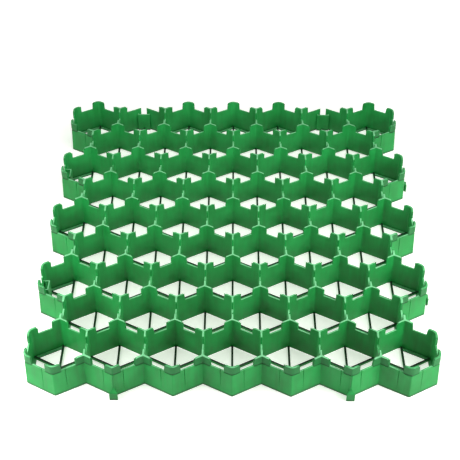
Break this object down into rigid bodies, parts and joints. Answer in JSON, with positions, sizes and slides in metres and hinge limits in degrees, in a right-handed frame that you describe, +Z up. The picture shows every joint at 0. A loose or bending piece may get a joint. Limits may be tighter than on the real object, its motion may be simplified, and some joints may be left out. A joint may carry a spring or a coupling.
{
  "type": "grass grid paver",
  "caption": "Honeycomb ground grid of pointed cells with raised tabs on the wall joints, crossed ribs in each foot, and lugs and pockets that join panels.",
  "frame": {"origin": "on the underside, at the crossing of the ribs of the middle cell", "axes": "+Z up from the underside to the tabs; +Y along the longer side from the lug edge to the pocket edge; +X towards the side with lugs"},
  "size_m": [0.4003, 0.4615, 0.038],
  "materials": {
    "green_plastic": "satin"
  },
  "bodies": {
    "root": {"grass_grid_paver": "green_plastic"}
  },
  "joints": []
}
